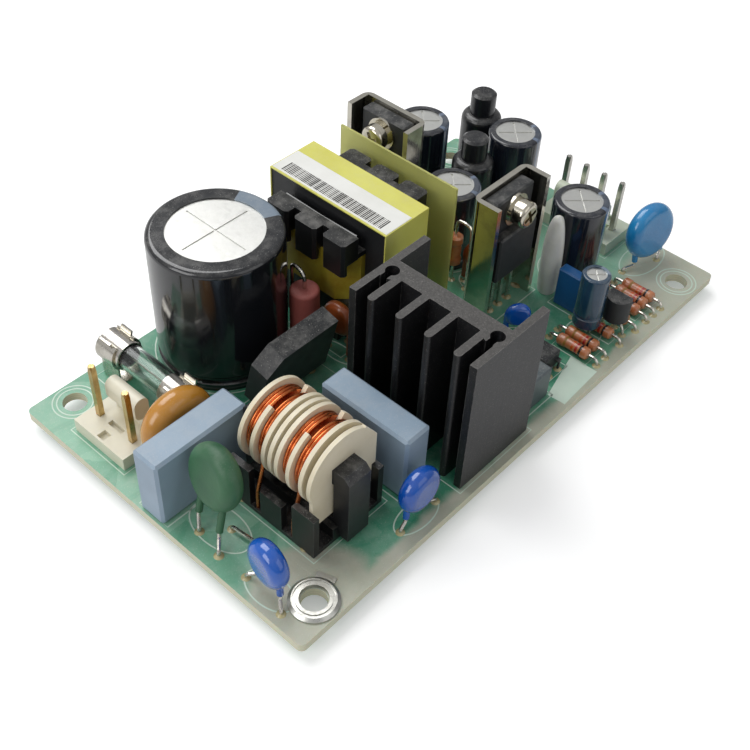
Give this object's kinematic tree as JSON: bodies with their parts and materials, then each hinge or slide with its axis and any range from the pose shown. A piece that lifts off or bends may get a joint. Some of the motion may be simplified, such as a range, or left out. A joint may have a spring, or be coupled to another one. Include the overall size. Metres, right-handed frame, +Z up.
{
  "type": "open frame power supply",
  "caption": "Bare board switching power supply with mains and output headers, transformer, heatsink, capacitors and other soldered parts.",
  "frame": {"origin": "under the middle of the board, at the plane of the clipped lead ends on which it stands", "axes": "+X along the board from the mains input end to the output end, +Y across the board towards the edge beside the fuse and the large capacitor, +Z up from the solder side to the component side"},
  "size_m": [0.108, 0.062, 0.0299],
  "materials": {
    "board_laminate": "green solder mask over fibreglass, satin",
    "solder": "bright solder",
    "tinned_wire": "tinned copper, bright",
    "ground_metal": "stamped tinned sheet",
    "ac_header_plastic": "cream nylon",
    "brass_pins": "tinned brass, worn",
    "dc_header_plastic": "pale greenish nylon, slightly translucent",
    "tinned_pins": "tinned square pins",
    "fuse_tube": "clear glass",
    "nickel_caps": "nickel plate",
    "fuse_element": "thin wire",
    "spring_clips": "tinned spring sheet",
    "amber_coating": "glossy dipped epoxy",
    "grey_blue_case": "moulded case, satin",
    "green_coating": "matt dipped coating",
    "blue_coating": "glossy dipped epoxy",
    "cyan_coating": "glossy dipped epoxy",
    "ferrite": "sintered ferrite, matt",
    "black_bobbin": "moulded black plastic",
    "cream_bobbin": "moulded cream plastic",
    "enamelled_copper": "enamelled copper wire",
    "black_epoxy": "moulded epoxy package",
    "can_aluminium": "drawn can, satin",
    "dark_sleeve": "shrink sleeve with a grey-blue stripe",
    "salmon_coating": "matt cement coating",
    "orange_coating": "dipped coating",
    "yellow_tape": "polyester tape, slightly translucent",
    "label_paper": "matt paper label",
    "black_sleeving": "glossy sleeving",
    "yellow_sheet": "translucent insulation sheet",
    "black_anodised": "black anodised extrusion",
    "bracket_sheet": "bent bright sheet",
    "screw_steel": "zinc-plated steel",
    "inductor_tube": "black shrink tube",
    "blue_case": "blue moulded case",
    "grey_case": "dark moulded case",
    "resistor_lacquer": "tan lacquer with colour bands",
    "silicone": "white silicone"
  },
  "bodies": {
    "root": {"circuit_board": "board_laminate", "solder_joints": "solder", "component_leads": "tinned_wire", "ground_ring": "ground_metal", "ac_header": "ac_header_plastic", "ac_header_pins": "brass_pins", "dc_header": "dc_header_plastic", "dc_header_pins": "tinned_pins", "fuse_glass": "fuse_tube", "fuse_end_caps": "nickel_caps", "fuse_wire": "fuse_element", "fuse_clips": "spring_clips", "surge_varistor": "amber_coating", "x_capacitor_1": "grey_blue_case", "x_capacitor_2": "grey_blue_case", "inrush_thermistor": "green_coating", "y_capacitor_1": "blue_coating", "y_capacitor_2": "blue_coating", "choke_core": "ferrite", "choke_bobbin": "cream_bobbin", "choke_winding_1": "enamelled_copper", "choke_winding_2": "enamelled_copper", "choke_base": "black_bobbin", "bridge_rectifier": "black_epoxy", "bulk_capacitor_can": "can_aluminium", "bulk_capacitor_sleeve": "dark_sleeve", "snubber_resistor": "salmon_coating", "snubber_capacitors": "orange_coating", "transformer_core": "ferrite", "transformer_bobbin": "black_bobbin", "transformer_winding": "enamelled_copper", "transformer_band": "yellow_tape", "transformer_tape": "yellow_tape", "transformer_label": "label_paper", "transformer_leads": "black_sleeving", "insulation_sheet": "yellow_sheet", "main_heatsink": "black_anodised", "switching_transistor": "black_epoxy", "rear_bracket": "bracket_sheet", "rear_rectifier": "black_epoxy", "front_bracket": "bracket_sheet", "front_rectifier": "black_epoxy", "mounting_screws": "screw_steel", "spring_washers": "screw_steel", "flat_washers": "screw_steel", "output_capacitor_cans": "can_aluminium", "output_capacitor_sleeves": "dark_sleeve", "small_capacitor_can": "can_aluminium", "small_capacitor_sleeve": "dark_sleeve", "filter_inductors": "inductor_tube", "film_capacitor": "blue_case", "box_capacitor": "grey_case", "output_y_capacitor": "cyan_coating", "ceramic_capacitor": "blue_coating", "resistor_bodies": "resistor_lacquer", "resistor_leads": "tinned_wire", "optocoupler": "black_epoxy", "voltage_reference": "black_epoxy", "jumper_wires": "tinned_wire", "silicone_adhesive": "silicone"}
  },
  "joints": []
}
